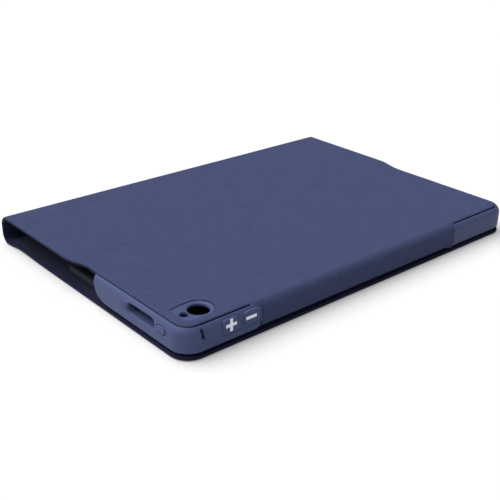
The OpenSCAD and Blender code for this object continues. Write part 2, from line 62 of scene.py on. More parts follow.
# ---- Outer cover ----
# One length of woven polyester, glued round the boards: under the deck, up the spine, over the flap
# and the holder, and down the front of the moulded rim. Its edges are turned in round the boards,
# and at the three folds there is no board behind it, so it bends there.

def cad_edge(node, end, axis):
    """Where a CAD node's box begins (end 0) or stops (end 1) along an axis, in mm."""
    return round(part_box(node)[end][axis] / mm, 2)


half_width, flap_half_width = cad_edge("base_fabric", 1, 0), cad_edge("flap_fabric", 1, 0)
front, back = cad_edge("base_fabric", 0, 1), cad_edge("spine_fabric", 1, 1)
height = cad_edge("flap_fabric", 1, 2)
corner_r, corner_x, corner_y = 11, 114, -78.3
wrap_foot, cloth_t = 4.8, 0.5
lower_fold, upper_fold, front_roll = 6, 6.5, 4.8
base_end = back - lower_fold
spine_run = height - lower_fold - upper_fold
cover_runs = [
    (lower_fold * math.pi / 2, lower_fold),
    (spine_run, None),
    (upper_fold * math.pi / 2, upper_fold),
    (back - upper_fold - front - front_roll, None),
    (front_roll * math.pi / 2, front_roll),
    (40, None),
]
spine_mid = cover_runs[0][0] + spine_run / 2
top_start = cover_runs[0][0] + spine_run + cover_runs[2][0]
roll_start = top_start + cover_runs[3][0]
roll_end = roll_start + cover_runs[4][0]
wrap_end = roll_end + height - front_roll - wrap_foot
flap_middle = 47
seam_inset = 3


def cover_line(s):
    """(y, z) on the cover's outer face and the outward direction there, s mm round from the base's end."""
    y, z, turn = base_end, 0.0, 0.0
    if s < 0:
        return y + s, 0.0, 0.0, -1.0
    for length, radius in cover_runs:
        part = min(s, length)
        if radius:
            y += radius * (math.sin(turn + part / radius) - math.sin(turn))
            z += radius * (math.cos(turn) - math.cos(turn + part / radius))
            turn += part / radius
        else:
            y += part * math.cos(turn)
            z += part * math.sin(turn)
        s -= part
        if s <= 0:
            break
    return y, z, math.sin(turn), -math.cos(turn)


def along_top(y):
    return top_start + back - upper_fold - y


def ease(t):
    t = min(1.0, max(0.0, t))
    return t * t * (3 - 2 * t)


def flap_edge(y):
    """Half the width of the top panel: wide over the flap, narrowing at the fold line to the seam."""
    return half_width - seam_inset + 4 * ease((y + 3.8) / 20)


def roll_drop(d):
    d = min(front_roll, max(0.0, d))
    return front_roll - math.sqrt(front_roll**2 - d * d)


def soft_sink(x, s):
    """How far the cloth lies inside the cover line: the rim's shoulder, the folds and slight unevenness."""
    y, side = cover_line(s)[0], abs(x)
    if s < 0:
        return 0.55 * math.exp(-(((y - 67) / 12) ** 2)) + 0.04 * math.sin(x / 17) * math.sin(y / 13)
    if s < top_start:
        return 0.1 * math.sin(math.pi * s / top_start) * (0.5 + 0.5 * math.sin(x / 23))
    sink = 0.1 * (0.5 + 0.5 * math.sin(x / 31 + 1.3) * math.sin(y / 23)) * ease((s - top_start) / 20)
    sink += 0.14 * math.exp(-(((y - 6.2) / 3.2) ** 2))
    if s > roll_end:
        return 0.12 * math.sin(x / 19) ** 2 * ease((wrap_end - s) / 3)
    ahead = corner_y - cover_line(s)[0]
    reach = math.hypot(max(0, side - corner_x), max(0, ahead)) - corner_r + front_roll
    if ahead < 0:
        reach = side - half_width + front_roll
    holder = ease((-3.5 - y) / 9)
    edge = holder * (roll_drop(reach) - roll_drop(ahead - corner_r + front_roll))
    return sink * ease((flap_edge(y) - side) / 20 + 0.4) * ease((roll_end - s) / 9) + edge


def spine_swell(s, deep):
    """The cloth's outer face stands off the spine's board a little, most at half height."""
    return -0.9 * math.sin(math.pi * min(1, max(0, s) / top_start)) * max(0, 1 - deep / 1.9)


def new_piece(name, data):
    """A piece of this data, in the scene, at the origin."""
    piece = bpy.data.objects.new(name, data)
    bpy.context.scene.collection.objects.link(piece)
    return piece


def bent_sheet(name, flat, faces, edge_profile, is_cut, depth_at=spine_swell, outward=True):
    """A sheet laid out flat in (x, s), given turned-in edges, and bent round the cover line."""
    points = [(x, s, 0.0, x, s) for x, s in flat]
    used = {(a, b) for f in faces for a, b in zip(f, f[1:] + f[:1])}
    border = [(a, b) for a, b in used if (b, a) not in used and not is_cut(flat[a], flat[b])]
    lean = {}
    for a, b in border:
        d = Vector((flat[b][1] - flat[a][1], flat[a][0] - flat[b][0])).normalized()
        for corner in (a, b):
            lean.setdefault(corner, []).append(d)
    faces, ring = list(faces), {v: v for v in lean}
    outs = {v: ds[0] if len(ds) == 1 else (ds[0] + ds[1]) / (1 + ds[0].dot(ds[1]))
            for v, ds in lean.items()}
    for step in range(len(edge_profile(0, 0))):
        wider = {}
        for v, n in outs.items():
            x, s = flat[v]
            profile = [(0, 0)] + edge_profile(x, s)
            out, deep = profile[step + 1]
            length = sum(math.dist(p, q) for p, q in zip(profile[: step + 1], profile[1 : step + 2]))
            wider[v] = len(points)
            points.append((x + n.x * out, s + n.y * out, deep, x + n.x * length, s + n.y * length))
        faces += [(ring[b], ring[a], wider[a], wider[b]) for a, b in border]
        ring = wider
    mesh = bpy.data.meshes.new(name)
    places = []
    for x, s, deep, u, v in points:
        y, z, ny, nz = cover_line(s)
        deep += soft_sink(x, s) + depth_at(s, deep)
        places.append((x * mm, (y - ny * deep) * mm, (z - nz * deep) * mm))
    turned = [f[::-1] for f in faces] if outward else faces
    mesh.from_pydata(places, [], turned)
    # turn_in is 1 where the cloth is turned in round a board's edge; the cloth's colour paints these parts
    # near-black as shade
    turn_in = mesh.attributes.new("turn_in", "FLOAT", "POINT")
    turn_in.data.foreach_set("value", [ease((deep - 0.1) / 0.7) for x, s, deep, u, v in points])
    cloth = mesh.uv_layers.new(name="cloth")
    for loop in mesh.loops:
        u, v = points[loop.vertex_index][3:]
        cloth.data[loop.index].uv = (u * mm, v * mm)
    mesh.shade_smooth()
    return new_piece(name, mesh)


def plain(piece, sharp=40):
    """Turns a piece and its modifiers into one plain mesh, with its sharp edges marked."""
    seen = piece.evaluated_get(bpy.context.evaluated_depsgraph_get())
    mesh = bpy.data.meshes.new_from_object(seen)
    piece.modifiers.clear()
    piece.data = mesh
    mesh.shade_smooth()
    mesh.set_sharp_from_angle(angle=math.radians(sharp))
    return piece


def give_thickness(piece, thickness):
    layer = piece.modifiers.new("cloth thickness", "SOLIDIFY")
    layer.thickness, layer.offset = thickness * mm, -1
    return plain(piece, 50)


def grid_faces(rows, across):
    corners = [i * across + j for i in range(rows - 1) for j in range(across - 1)]
    return [(k, k + 1, k + 1 + across, k + across) for k in corners]


def spread(start, end, step):
    return [float(v) for v in np.linspace(start, end, max(2, round(abs(end - start) / step) + 1))]


# Turned-in edges, as (outwards, inwards) from 3 mm inside the edge
board_edge = [(2.1, 0.04), (2.5, 0.16), (2.85, 0.45), (3, 0.85), (3, 1.3), (2.85, 1.7), (2.5, 1.93),
              (1.8, 1.98), (0.8, 1.98)]
seam_edge = [(1.3, 0.02), (2.1, 0.07), (2.6, 0.2), (2.9, 0.44), (3.04, 0.8), (3.04, 1.05), (3.02, 1.2),
             (3, 1.3), (2.97, 1.4)]
foot_edge = [(0.3, 0.02), (0.6, 0.1), (0.8, 0.25), (0.92, 0.45), (0.96, 0.6), (0.96, 0.7), (0.95, 0.8),
             (0.93, 0.85), (0.9, 0.9)]


def mixed_edge(a, b, share):
    return [(p[0] + (q[0] - p[0]) * share, p[1] + (q[1] - p[1]) * share) for p, q in zip(a, b)]


# Base piece: underside of the deck, its fold, and the lower half of the spine
inner_r = corner_r - 3
rows = [(front + corner_r - inner_r * math.cos(t) - base_end, corner_x + inner_r * math.sin(t))
        for t in np.linspace(0, math.pi / 2, 9)]
for s in spread(corner_y - base_end, -14, 5)[1:] + spread(-14, 0, 1.6)[1:]:
    rows.append((s, half_width - 3 + ease((s + 12) / 12)))
for s in spread(0, cover_runs[0][0], 0.7)[1:] + spread(cover_runs[0][0], spine_mid, 1.2)[1:]:
    rows.append((s, flap_half_width - 3))
across = spread(-1, 1, 1 / 22)
flat = [(u * half, s) for s, half in rows for u in across]
cover_base = bent_sheet(
    "cover_base", flat, grid_faces(len(rows), len(across)),
    lambda x, s: [(out, deep * (1.15 - 0.15 * ease(s / 9 + 1))) for out, deep in board_edge],
    lambda a, b: min(a[1], b[1]) > spine_mid - 0.01)
give_thickness(cover_base, cloth_t)

# Rear piece: the upper half of the spine, its fold, and the rear half of the flap
rows = [(s, flap_half_width - 3) for s in spread(spine_mid, spine_mid + spine_run / 2, 1.2)
        + spread(spine_mid + spine_run / 2, top_start, 0.7)[1:]]
rows += [(s, flap_half_width - 3) for s in spread(top_start, along_top(flap_middle), 2.5)[1:]]
flat = [(u * half, s) for s, half in rows for u in across]
cover_rear = bent_sheet(
    "cover_rear", flat, grid_faces(len(rows), len(across)), lambda x, s: board_edge,
    lambda a, b: min(a[1], b[1]) > along_top(flap_middle) - 0.01 or max(a[1], b[1]) < spine_mid + 0.01)
give_thickness(cover_rear, cloth_t)


# Front piece: the front half of the flap, the fold line, the holder's top and the front wrap.
# The wrap's left end is rounded where the moulded rim shows, and its right end is cut straight.
def wrap_left(z):
    return -77 - (6.5 * ((z - 11.2) / 6.1) ** 5 if z > 11.2 else 2.5 * ((11.2 - z) / 6.4) ** 2)


def wrap_right(z):
    return 72.5 + 2.4 * ease((z - 15.6) / 1.6)


seam_r = corner_r - seam_inset
rows = [(s, flap_edge(cover_line(s)[0]) - 3) for s in spread(along_top(flap_middle), along_top(18), 4)]
rows += [(s, flap_edge(cover_line(s)[0]) - 3) for s in spread(along_top(18), along_top(-12), 1)[1:]]
rows += [(s, half_width - seam_inset - 3) for s in spread(along_top(-12), along_top(corner_y), 4)[1:]]
rows += [(along_top(corner_y - (seam_r - 3) * math.sin(t)), corner_x + (seam_r - 3) * math.cos(t))
         for t in np.linspace(0, math.pi / 2, 8)[1:]]
seam_row = rows[-1][0]
seam_z = cover_line(seam_row + 3)[1]
left_x, right_x = wrap_left(seam_z) + 3, wrap_right(seam_z) - 3
across = spread(-corner_x, left_x, 4)
wrap_first = len(across) - 1
across += spread(left_x, right_x, 5)[1:]
wrap_last = len(across) - 1
across += spread(right_x, corner_x, 4)[1:]
flat = [(x / corner_x * half, s) for s, half in rows for x in across]
faces = grid_faces(len(rows), len(across))
count = wrap_last - wrap_first + 1
last_row = len(flat) - len(across) + wrap_first
for s in (spread(seam_row, roll_start, 0.7)[1:] + spread(roll_start, roll_end, 0.5)[1:]
          + spread(roll_end, wrap_end - 0.9, 1)[1:]):
    z = cover_line(s + 3 * (1 - ease((s - seam_row) / 3)))[1]
    first = len(flat)
    flat += [(x, s) for x in np.interp(across[wrap_first : wrap_last + 1], [left_x, right_x],
                                       [wrap_left(z) + 3, wrap_right(z) - 3])]
    faces += [(last_row + j, last_row + j + 1, first + j + 1, first + j) for j in range(count - 1)]
    last_row = first


def front_edge(x, s):
    if s > wrap_end - 0.95 and wrap_left(wrap_foot) + 3.5 < x < wrap_right(wrap_foot) - 3.5:
        return foot_edge
    return mixed_edge(board_edge, seam_edge, ease((-5 - cover_line(s)[0]) / 7))


cover_front = bent_sheet("cover_front", flat, faces, front_edge,
                         lambda a, b: max(a[1], b[1]) < along_top(flap_middle) + 0.01)
give_thickness(cover_front, cloth_t)
# In the notch where the wrap's left side meets the seam, the cloth's inner face stays inside
for point in cover_front.data.vertices:
    if point.co.z > (height + 0.005) * mm:
        point.co.z = (height - 0.7) * mm


# Opening for the camera and flash windows: straight at the back, round about the camera, with a
# short pointed end towards the side
camera_x, camera_y, camera_r, flash_x, flash_r = -104.5, -73.8, 5.6, -113.1, 2.2


def camera_outline(grow):
    shape = [(camera_x + (7.9 + grow) * math.cos(t), camera_y + (7.9 + grow) * math.sin(t))
             for t in np.linspace(-math.pi / 2, math.pi / 2, 22)]
    shape += [(-110, camera_y + 7.75 + grow), (-114, camera_y + 7.45 + grow)]
    shape += [(-116.4 - grow, camera_y + 6.9 + grow * 0.6)]
    shape += [(-116.9 - grow, camera_y + 6.1), (-116.8 - grow, camera_y + 4), (-117.3 - grow, camera_y - 1)]
    shape += [(flash_x + 0.2 - (4.4 + grow) * math.sin(t), camera_y - 3.5 - (4.4 + grow) * math.cos(t))
              for t in np.linspace(1.4, 0, 8)]
    return shape


def made_piece(name, mesh):
    """The piece that a bmesh holds."""
    data = bpy.data.meshes.new(name)
    mesh.to_mesh(data)
    mesh.free()
    return new_piece(name, data)


def lofted(name, rings, place):
    """A closed solid through rings of points that all have the same count; place() puts (a, b, depth)."""
    mesh, count = bmesh.new(), len(rings[0][0])
    made = [[mesh.verts.new(place(a, b, depth)) for a, b in ring] for ring, depth in rings]
    for low, high in zip(made, made[1:]):
        for j in range(count):
            mesh.faces.new((low[j], low[(j + 1) % count], high[(j + 1) % count], high[j]))
    mesh.faces.new(made[0][::-1])
    mesh.faces.new(made[-1])
    bmesh.ops.recalc_face_normals(mesh, faces=mesh.faces)
    return made_piece(name, mesh)


def cut_away(piece, *cutters):
    """Cuts the cutters' shapes out of a piece, and takes the cutters away."""
    for cutter in cutters:
        cut = piece.modifiers.new("cut", "BOOLEAN")
        cut.operation, cut.solver, cut.object = "DIFFERENCE", "EXACT", cutter
    plain(piece)
    for cutter in cutters:
        bpy.data.objects.remove(cutter)
    return piece


def upright(a, b, z):
    return Vector((a, b, z)) * mm


def window_cutter(grow, low, high):
    return lofted("window_cutter", [(camera_outline(grow), low), (camera_outline(grow), high)], upright)


cut_away(cover_front, window_cutter(0, 14, 19))


# The cloth: a plain weave of thick yarns, each a little different in tone, with painted shade in the valleys
# between the yarns. It follows the cloth round every fold. Its turned-in edges, which face down and inwards,
# are painted near-black as shade.
class Socket:
    """One output of a shader node. Sums, products and powers of them add Math nodes."""

    def __init__(self, tree, output):
        self.tree, self.output = tree, output

    def node(self, kind, settings, sockets, result=0):
        made = self.tree.nodes.new(kind)
        for name, value in settings.items():
            setattr(made, name, value)
        for key, value in sockets.items():
            if isinstance(value, Socket):
                self.tree.links.new(value.output, made.inputs[key])
            else:
                made.inputs[key].default_value = value
        return Socket(self.tree, made.outputs[result])

    def maths(self, operation, *others):
        return self.node("ShaderNodeMath", {"operation": operation}, dict(enumerate((self, *others))))

    def __add__(self, other):
        return self.maths("ADD", other)

    def __sub__(self, other):
        return self.maths("SUBTRACT", other)

    def __rsub__(self, other):
        return self.maths("MULTIPLY_ADD", -1, other)

    def __mul__(self, other):
        return self.maths("MULTIPLY", other)

    def __truediv__(self, other):
        return self.maths("DIVIDE", other)

    def __pow__(self, other):
        return self.maths("POWER", other)

    __radd__, __rmul__ = __add__, __mul__

    def noise(self, scale, detail=2, stretch=(1, 1, 1), rough=0.5):
        """Noise on this vector, from 0 to 1, with scale features to a metre."""
        spot = self.node("ShaderNodeMapping", {}, {"Vector": self, "Scale": stretch})
        sockets = {"Vector": spot, "Scale": scale, "Detail": detail, "Roughness": rough}
        return self.node("ShaderNodeTexNoise", {}, sockets)

    def axis(self, name):
        return self.node("ShaderNodeSeparateXYZ", {}, {0: self}, name)

    def colour(self, a, b):
        """The colour that is a where this mask is 0 and b where it is 1."""
        a, b = (v if isinstance(v, Socket) else (*v, 1) for v in (a, b))
        return self.node("ShaderNodeMix", {"data_type": "RGBA"}, {0: self, 6: a, 7: b}, 2)


def finish_of(name, coordinates="Object", **constants):
    """A new material, the shader's inputs, and the coordinates that its pattern follows."""
    made = bpy.data.materials.new(name)
    made.use_nodes = True
    shader = made.node_tree.nodes["Principled BSDF"]
    for key, value in constants.items():
        shader.inputs[key.replace("_", " ")].default_value = value
    start = Socket(made.node_tree, None)
    if coordinates == "Object":
        return made, shader, start.node("ShaderNodeTexCoord", {}, {}, "Object")
    return made, shader, start.node("ShaderNodeUVMap", {"uv_map": coordinates}, {}, "UV")


def feed(shader, height=None, depth=0.1, strength=1.0, **sockets):
    """Links what varies over a surface into its shader; height is in steps of depth mm."""
    tree = shader.id_data
    for key, value in sockets.items():
        tree.links.new(value.output, shader.inputs[key.replace("_", " ")])
    if height is not None:
        sockets = {"Height": height, "Distance": depth * mm, "Strength": strength}
        tree.links.new(height.node("ShaderNodeBump", {}, sockets, "Normal").output, shader.inputs["Normal"])


def wear(piece, *materials):
    piece.data.materials.clear()
    for material in materials:
        piece.data.materials.append(material)


yarn_pitch = 0.8
woven, shader, cloth = finish_of("navy woven polyester", "cloth", Specular_IOR_Level=0.06, Sheen_Weight=0.02,
                                 Sheen_Roughness=0.6)
wander = cloth.noise(90, 2) - 0.5
warp, weft = [((cloth.axis(way) / (yarn_pitch * mm) + wander * 0.5) * math.pi).maths("SINE") for way in "XY"]
over = warp * weft * 0.5 + 0.5
weave = over * warp.maths("ABSOLUTE") ** 0.6 + (1 - over) * weft.maths("ABSOLUTE") ** 0.6
shade = cloth.noise(1400, 1, (1, 0.06, 1)) * 0.5 + cloth.noise(1400, 1, (0.06, 1, 1)) * 0.5
tone = cloth.noise(55, 3)
# The weave's height also sets the colour: the yarns' edges and the gaps between them are darker as painted
# shade, added to the yarns' own random tones
yarn_tone_and_valley_shade = weave * 1.1 + shade * 0.8 - 0.6 + (tone - 0.5) * 0.12
thread = yarn_tone_and_valley_shade.colour((0.0125, 0.019, 0.05), (0.053, 0.068, 0.148))
# Cloth turned in round the boards' edges faces down and inwards, and is painted near-black there as painted
# shade
turn_in_shade_mask = cloth.node("ShaderNodeAttribute", {"attribute_name": "turn_in"}, {}, "Fac")
turned_edge_shade = (shade * 0.8 + weave * 0.2).colour((0.003, 0.0035, 0.014), (0.012, 0.0125, 0.042))
feed(shader, height=weave + cloth.noise(6000, 1) * 0.15, depth=0.09, strength=0.7,
     Base_Color=turn_in_shade_mask.colour(thread, turned_edge_shade), Roughness=0.72 + weave * 0.12)
for cover in (cover_base, cover_rear, cover_front):
    wear(cover, woven)
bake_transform(cover_base)
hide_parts("base_fabric", "lower_hinge_fabric", "spine_fabric")
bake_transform(cover_rear)
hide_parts("spine_fabric", "upper_hinge_fabric", "flap_fabric")
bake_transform(cover_front)
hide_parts("flap_fabric", "fold_hinge_fabric", "holder_fabric")


# ---- Linings ----
# A brushed microfibre is glued over the cover's turned-in edges on the inside. It runs from the deck
# up the spine and along the flap, and lines the back of the tablet's pocket.

def lining_depth(s, deep):
    return float(np.interp(s, [-14, cover_runs[0][0], spine_mid + 2.5, top_start], [2.6, 2.4, 2.4, 2.3]))


lining_t = 0.35
lining_edge = [(0.15, -0.02), (0.3, -0.1), (0.35, -0.25), (0.3, -0.4)]
frame_lap = 1.5
opening = cad_edge("keyboard_frame", 1, 0) - frame_lap
cut_front = cad_edge("keyboard_frame", 0, 1) + frame_lap - base_end
cut_back = cad_edge("keyboard_frame", 1, 1) - frame_lap - base_end
inner_r = corner_r - 2
round_rows = [(front + corner_r - inner_r * math.cos(t) - base_end, corner_x + inner_r * math.sin(t))
              for t in np.linspace(0, math.pi / 2, 9)]
cut_row = (cut_front, corner_x + math.sqrt(inner_r**2 - (corner_y - cut_front - base_end) ** 2))
rows = [r for r in round_rows if r[0] < cut_front - 0.3] + [cut_row]
rows += [r for r in round_rows if r[0] > cut_front + 0.3]
for s in spread(corner_y - base_end, cut_back, 8)[1:] + spread(cut_back, -14, 5)[1:]:
    rows.append((s, half_width - 2))
for s in (spread(-14, 0, 1.8)[1:] + spread(0, cover_runs[0][0], 0.8)[1:]
          + spread(cover_runs[0][0], spine_mid, 1.2)[1:]):
    rows.append((s, half_width - 2 + ease((s + 12) / 12)))
across = spread(-1, 1, 1 / 10)
flat, faces = [], []
for s, half in rows:
    inner = min(opening, half - 2)
    middle = (half + inner) / 2
    flat += [(x, s) for x in [-half, -middle] + [u * inner for u in across] + [middle, half]]
count = len(across) + 4
for face in grid_faces(len(rows), count):
    column, s0, s1 = face[0] % count, flat[face[0]][1], flat[face[2]][1]
    in_frame = s0 > cut_front - 0.1 and s1 < cut_back + 0.1
    if not (in_frame and 2 <= column < count - 3):
        faces.append(face)


def under_frame(a, b):
    """Whether an edge of the lining lies at the spine's middle or under the keyboard frame's border."""
    beside = max(abs(a[0]), abs(b[0])) < opening + 0.01
    along = cut_front - 0.1 < min(a[1], b[1]) and max(a[1], b[1]) < cut_back + 0.1
    return min(a[1], b[1]) > spine_mid - 0.01 or (beside and along)


deck_lining = bent_sheet("deck_lining", flat, faces, lambda x, s: lining_edge, under_frame, lining_depth,
                         outward=False)
give_thickness(deck_lining, lining_t)

places = spread(spine_mid, spine_mid + spine_run / 2, 1.2)
places += spread(spine_mid + spine_run / 2, top_start, 0.8)[1:]
places += spread(top_start, along_top(flap_middle), 4)[1:]
rows = [(s, flap_half_width - 2) for s in places]
flat = [(u * half, s) for s, half in rows for u in across]
flap_lining_rear = bent_sheet(
    "flap_lining_rear", flat, grid_faces(len(rows), len(across)), lambda x, s: lining_edge,
    lambda a, b: min(a[1], b[1]) > along_top(flap_middle) - 0.01 or max(a[1], b[1]) < spine_mid + 0.01,
    lining_depth, outward=False)
give_thickness(flap_lining_rear, lining_t)

pocket_half, pocket_front, pocket_r = 120.1, -84.4, 6.2
rows = [(s, flap_edge(cover_line(s)[0]) - 2) for s in spread(along_top(flap_middle), along_top(18), 4)]
rows += [(s, min(flap_edge(cover_line(s)[0]) - 2, pocket_half + 4 * ease((cover_line(s)[0] + 8.8) / 8)))
         for s in spread(along_top(18), along_top(-9), 1)[1:]]
rows += [(s, pocket_half) for s in spread(along_top(-9), along_top(pocket_front + pocket_r), 6)[1:]]
pad_r = pocket_r - 0.35
pad_x, pad_y = pocket_half - pocket_r, pocket_front + pocket_r
rows += [(along_top(pad_y - pad_r * math.sin(t)), pad_x + pad_r * math.cos(t))
         for t in np.linspace(0, math.pi / 2, 7)[1:]]
flat = [(u * half, s) for s, half in rows for u in across]
holder_pad = bent_sheet(
    "holder_pad", flat, grid_faces(len(rows), len(across)), lambda x, s: lining_edge,
    lambda a, b: max(a[1], b[1]) < along_top(flap_middle) + 0.01, lining_depth, outward=False)
give_thickness(holder_pad, lining_t)
cut_away(holder_pad, window_cutter(0, 12, 19))

suede, shader, cloth = finish_of("dark brushed microfibre", "cloth", Specular_IOR_Level=0.05,
                                 Sheen_Weight=0.06, Sheen_Roughness=0.5)
nap = cloth.noise(380, 4, (1, 0.35, 1), 0.65)
fibre = cloth.noise(4200, 2, (1, 0.25, 1))
feed(shader, height=fibre * 0.6 + nap * 0.5, depth=0.06, strength=0.6,
     Base_Color=(nap * 0.8 + fibre * 0.5 - 0.15).colour((0.004, 0.005, 0.016), (0.016, 0.018, 0.045)),
     Roughness=0.82 + fibre * 0.12)
for lining in (deck_lining, flap_lining_rear, holder_pad):
    wear(lining, suede)
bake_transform(deck_lining)
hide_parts("base_lining", "spine_lining")
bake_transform(flap_lining_rear)
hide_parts("spine_lining", "flap_lining")
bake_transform(holder_pad)
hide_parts("flap_lining", "holder_lining")


# ---- Holder ----
# A rim moulded in soft-touch plastic holds the tablet along its two sides and its front, and is one
# piece with the thin back plate under the cloth. It shows bare round the two front corners, with a
# narrow seam beside the cloth, and its sides end in a rounded lower corner near the fold line.

def rim_end(z):
    """Where the side rims end: nearly upright, with the lower corner cut away in a long curve."""
    return float(np.interp(z, [3.6, 3.9, 4.3, 4.8, 5.6, 6.6, 8, 10, 12.5, 15, 17.5],
                           [-34, -27, -22.6, -19.6, -16.9, -15, -13.7, -12.8, -12.2, -11.6, -10.6]))


# A section through the rim, as (outwards from its face, height): the foot, the outside, the shoulder,
# the step at the seam, and the inside with the lip that holds the tablet's edge. Where the cloth
# covers it, the outside lies further in.
rim_wall, cloth_step = 4.7, 0.85
shoulder = [(front_roll * (math.cos(a) - 1), height - front_roll - 0.1 + front_roll * math.sin(a))
            for a in np.radians([12, 24, 36, 48, 57])]
bare = [(-4.3, 3.6), (-1.2, 3.6), (-0.62, 3.75), (-0.16, 4.2)] + [(0, z) for z in (4.8, 6.6, 8.5, 10.5, 12.6)]
bare += shoulder + [(-2.38, 16.76), (-2.6, 16.6), (-2.7, 15.7), (-3.6, 15.6)]
outside = len(bare) - 1
bare += [(-rim_wall, z) for z in (15.6, 14, 12.6, 10.6, 8.89)]
bare += [(-6.15, 8.79), (-6.3, 8.6), (-6.3, 7.85), (-6.15, 7.69)]
bare += [(-rim_wall, z) for z in (7.59, 6.6, 5.6, 4.8, 4)]
covered = [(o - cloth_step, z - cloth_step * ease((z - 10) / 7)) if 1 <= i < outside else (o, z)
           for i, (o, z) in enumerate(bare)]


def rim_place(kind, value, o, z):
    """A point of the rim's section at a station along a side, round a corner or along the front."""
    if kind == "side":
        y = corner_y + value[1] * (rim_end(z) - corner_y)
        return upright(value[0] * (half_width + o), y, z)
    if kind == "corner":
        return upright(math.copysign(corner_x, math.cos(value)) + (corner_r + o) * math.cos(value),
                       corner_y + (corner_r + o) * math.sin(value), z)
    return upright(value(z) if callable(value) else value, front - o, z)


# The rim's ends are rounded off by a slightly smaller last section
tip = [(o + 0.3 * (1 if o < -4 else -1), z + 0.3 * (1 if z < 4 else -1 if z > 16 else 0)) for o, z in bare]
side_shares = (0.995, 0.97, 0.92, 0.8, 0.65, 0.5, 0.35, 0.2, 0.08)
stations = [("side", (-1, 1), tip)] + [("side", (-1, t), bare) for t in side_shares]
stations += [("corner", a, bare) for a in np.radians(np.linspace(180, 269.5, 15))]
stations += [("front", x, bare) for x in (-110, -104, -98, -92, -88)]
stations += [("front", lambda z: wrap_left(z) - 2.2, bare), ("front", lambda z: wrap_left(z) - 0.5, bare)]
stations += [("front", lambda z: wrap_left(z) - 0.1, covered)]
stations += [("front", x, covered) for x in spread(-70, 68, 12)]
stations += [("front", lambda z: wrap_right(z) + 0.1, covered)]
stations += [("front", lambda z: wrap_right(z) + 0.5, bare)]
stations += [("front", x, bare) for x in (79, 86, 93, 100, 107)]
stations += [("corner", a, bare) for a in np.radians(np.linspace(270.5, 360, 15))]
stations += [("side", (1, t), bare) for t in side_shares[::-1]] + [("side", (1, 1), tip)]
mesh = bmesh.new()
sections = [[mesh.verts.new(rim_place(kind, value, o, z)) for o, z in section]
            for kind, value, section in stations]
for here, there in zip(sections, sections[1:]):
    for j in range(len(bare)):
        k = (j + 1) % len(bare)
        mesh.faces.new((here[j], there[j], there[k], here[k]))
caps = [mesh.faces.new(sections[0]), mesh.faces.new(sections[-1][::-1])]
bmesh.ops.triangulate(mesh, faces=caps, ngon_method="EAR_CLIP")
bmesh.ops.recalc_face_normals(mesh, faces=mesh.faces)
holder_rim = made_piece("holder_rim", mesh)


def rounded(w, h, r, grow=0.0, steps=6):
    """A rectangle with round corners, about the origin, made larger by grow all round."""
    r, turns = max(0.05, r + grow), np.linspace(0, math.pi / 2, steps + 1)
    x, y = w / 2 + grow - r, h / 2 + grow - r
    quarters = ((1, 1, 0), (-1, 1, math.pi / 2), (-1, -1, math.pi), (1, -1, -math.pi / 2))
    return [(sx * x + r * math.cos(a + q), sy * y + r * math.sin(a + q))
            for sx, sy, q in quarters for a in turns]


# Slots for the speakers, the power button, the volume buttons and the microphone
opening_z, side_z, speaker_y, power_y = 12.19, 11.7, -54.3, -71.6
volume_up_x, volume_down_x, mic_x, mic_z = -97, -84, -113.6, 12.9
# How a cut widens towards the outside, as (growth, depth)
flared = [(1.5, -0.6), (0.95, 0), (0.42, 0.4), (0.1, 0.95), (0, 1.6), (0, 8)]
straight = [(0.3, -0.8), (0.12, 0), (0, 0.25), (0, 8)]
dished = [(0.7, -0.6), (0.42, 0), (0.12, 0.14), (0, 0.26)]


def side_cutter(side, y, w, h, r, z, profile):
    return lofted("side_cutter", [(rounded(w, h, r, grow), depth) for grow, depth in profile],
                  lambda a, b, d: upright(side * (half_width - d), y + a, z + b))


def front_cutter(x, w, h, r, z, profile, lean=0.0):
    return lofted("front_cutter", [(rounded(w, h, r, grow), depth) for grow, depth in profile],
                  lambda a, b, d: upright(x + a - lean * b, front + d, z + b))


# The volume buttons stand in one shallow dish, and the microphone's slot leans
cutters = [side_cutter(s, speaker_y, 23, 5.4, 2.65, side_z, flared) for s in (-1, 1)]
cutters += [side_cutter(-1, power_y, 7.8, 4.4, 2.15, side_z, straight),
            front_cutter(mic_x, 1.7, 5.8, 0.8, mic_z, [(0.6, -0.8), (0.3, 0.05), (0, 0.4), (0, 4)], 0.2)]
cutters += [front_cutter(-91, 24, 9, 3.4, 12, dished)]
cutters += [front_cutter(x, 10.6, 7.4, 2.1, opening_z, straight) for x in (volume_up_x, volume_down_x)]
cut_away(holder_rim, *cutters)

plate = [(-(pocket_half - 6) - 6 * math.sin(t), pocket_front + 6 - 6 * math.cos(t))
         for t in np.linspace(0, math.pi / 2, 7)]
plate += [(-min(flap_edge(y) - 0.9, 120.8), y) for y in (-70, -40, -12)]
plate += [(-flap_edge(y) + 1.6, y) for y in (-8, -4, 0)]
plate += [(-x, y) for x, y in plate[::-1]]
holder_back_plate = lofted("holder_back_plate", [(plate, 15.6), (plate, 16.5)], upright)
cut_away(holder_back_plate, window_cutter(0, 12, 19))

moulded, shader, spot = finish_of("navy soft-touch plastic", Specular_IOR_Level=0.12, Sheen_Weight=0.03)
grain = spot.noise(2600, 2, rough=0.6)
cloud = spot.noise(45, 3)
feed(shader, height=grain, depth=0.02, strength=0.5,
     Base_Color=(cloud * 0.6 + grain * 0.3 + 0.05).colour((0.04, 0.054, 0.13), (0.06, 0.078, 0.17)),
     Roughness=0.4 + cloud * 0.1 + grain * 0.08)
for piece in (holder_rim, holder_back_plate):
    wear(piece, moulded)
    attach(piece, "holder")
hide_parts("holder_shell")
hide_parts("holder_shell")


# ---- Camera surround ----
# A moulded collar lies a little below the cloth in the corner opening. Its face dishes down to a
# round camera window and a smaller flash window, which both go right through to the tablet.

